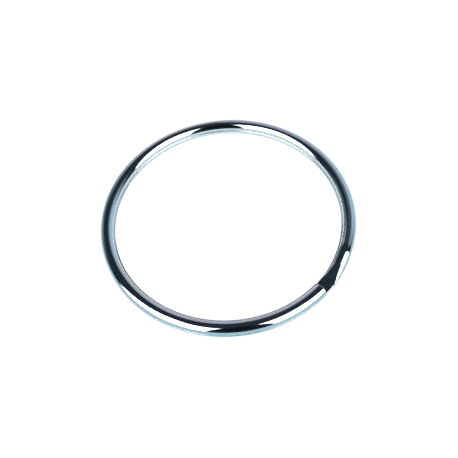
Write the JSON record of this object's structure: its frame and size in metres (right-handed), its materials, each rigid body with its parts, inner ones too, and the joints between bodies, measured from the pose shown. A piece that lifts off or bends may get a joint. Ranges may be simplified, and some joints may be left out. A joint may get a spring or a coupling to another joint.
{
  "type": "split key ring",
  "caption": "Large round split key ring of domed bright-plated spring wire: two closed turns, a stepped crossover and free ends that spring open.",
  "frame": {"origin": "on the ring's axis, in the plane that the lower turn rests on", "axes": "+Z along the ring's axis, away from the lower turn; the step from the upper turn to the lower one lies between 25 and 45 degrees clockwise of +X, seen from above"},
  "size_m": [0.0762, 0.0762, 0.0044],
  "materials": {
    "bright_plate": "bright nickel plate on spring steel, polished, faintly drawn along the wire"
  },
  "bodies": {
    "ring_body": {"upper_arc_1": "bright_plate", "upper_arc_2": "bright_plate", "upper_arc_3": "bright_plate", "upper_arc_4": "bright_plate", "upper_arc_5": "bright_plate", "upper_arc_6": "bright_plate", "step_over": "bright_plate", "lower_arc_1": "bright_plate", "lower_arc_2": "bright_plate", "lower_arc_3": "bright_plate", "lower_arc_4": "bright_plate", "lower_arc_5": "bright_plate", "lower_arc_6": "bright_plate"},
    "upper_free_end": {"upper_free_end": "bright_plate"},
    "upper_spring_1": {"upper_spring_1": "bright_plate"},
    "upper_spring_2": {"upper_spring_2": "bright_plate"},
    "upper_spring_3": {"upper_spring_3": "bright_plate"},
    "upper_spring_4": {"upper_spring_4": "bright_plate"},
    "lower_free_end": {"lower_free_end": "bright_plate"},
    "lower_spring_1": {"lower_spring_1": "bright_plate"},
    "lower_spring_2": {"lower_spring_2": "bright_plate"},
    "lower_spring_3": {"lower_spring_3": "bright_plate"},
    "lower_spring_4": {"lower_spring_4": "bright_plate"}
  },
  "joints": [
    {"name": "upper_bend_1", "type": "hinge", "parent": "upper_spring_1", "child": "upper_free_end", "pos_m": [0.00627, -0.03555, 0.00444], "axis": [0.1736, -0.9848, 0], "range_deg": [0, 1.05]},
    {"name": "upper_bend_2", "type": "hinge", "parent": "upper_spring_2", "child": "upper_spring_1", "pos_m": [-0.01235, -0.03392, 0.00444], "axis": [-0.342, -0.9397, 0], "range_deg": [0, 1.82]},
    {"name": "upper_bend_3", "type": "hinge", "parent": "upper_spring_3", "child": "upper_spring_2", "pos_m": [-0.02765, -0.0232, 0.00444], "axis": [-0.766, -0.6428, 0], "range_deg": [0, 2.1]},
    {"name": "upper_bend_4", "type": "hinge", "parent": "upper_spring_4", "child": "upper_spring_3", "pos_m": [-0.03555, -0.00627, 0.00444], "axis": [-0.9848, -0.1736, 0], "range_deg": [0, 1.82]},
    {"name": "upper_bend_5", "type": "hinge", "parent": "ring_body", "child": "upper_spring_4", "pos_m": [-0.03392, 0.01235, 0.00444], "axis": [-0.9397, 0.342, 0], "range_deg": [0, 1.05], "stiffness_Nm_per_rad": 6, "springref_deg": -0.29},
    {"name": "lower_bend_1", "type": "hinge", "parent": "lower_spring_1", "child": "lower_free_end", "pos_m": [0.03544, 0.00689, 0], "axis": [0.9816, 0.1908, 0], "range_deg": [0, 1.05]},
    {"name": "lower_bend_2", "type": "hinge", "parent": "lower_spring_2", "child": "lower_spring_1", "pos_m": [0.02724, 0.02368, 0], "axis": [0.7547, 0.6561, 0], "range_deg": [0, 1.82]},
    {"name": "lower_bend_3", "type": "hinge", "parent": "lower_spring_3", "child": "lower_spring_2", "pos_m": [0.01175, 0.03413, 0], "axis": [0.3256, 0.9455, 0], "range_deg": [0, 2.1]},
    {"name": "lower_bend_4", "type": "hinge", "parent": "lower_spring_4", "child": "lower_spring_3", "pos_m": [-0.00689, 0.03544, 0], "axis": [-0.1908, 0.9816, 0], "range_deg": [0, 1.82]},
    {"name": "lower_bend_5", "type": "hinge", "parent": "ring_body", "child": "lower_spring_4", "pos_m": [-0.02368, 0.02724, 0], "axis": [-0.6561, 0.7547, 0], "range_deg": [0, 1.05], "stiffness_Nm_per_rad": 6, "springref_deg": -0.29}
  ],
  "couplings": [
    {"joint": "upper_bend_1", "follows": "upper_bend_5", "ratio": 1},
    {"joint": "upper_bend_2", "follows": "upper_bend_5", "ratio": 1.7321},
    {"joint": "upper_bend_3", "follows": "upper_bend_5", "ratio": 2},
    {"joint": "upper_bend_4", "follows": "upper_bend_5", "ratio": 1.7321},
    {"joint": "lower_bend_1", "follows": "lower_bend_5", "ratio": 1},
    {"joint": "lower_bend_2", "follows": "lower_bend_5", "ratio": 1.7321},
    {"joint": "lower_bend_3", "follows": "lower_bend_5", "ratio": 2},
    {"joint": "lower_bend_4", "follows": "lower_bend_5", "ratio": 1.7321}
  ]
}
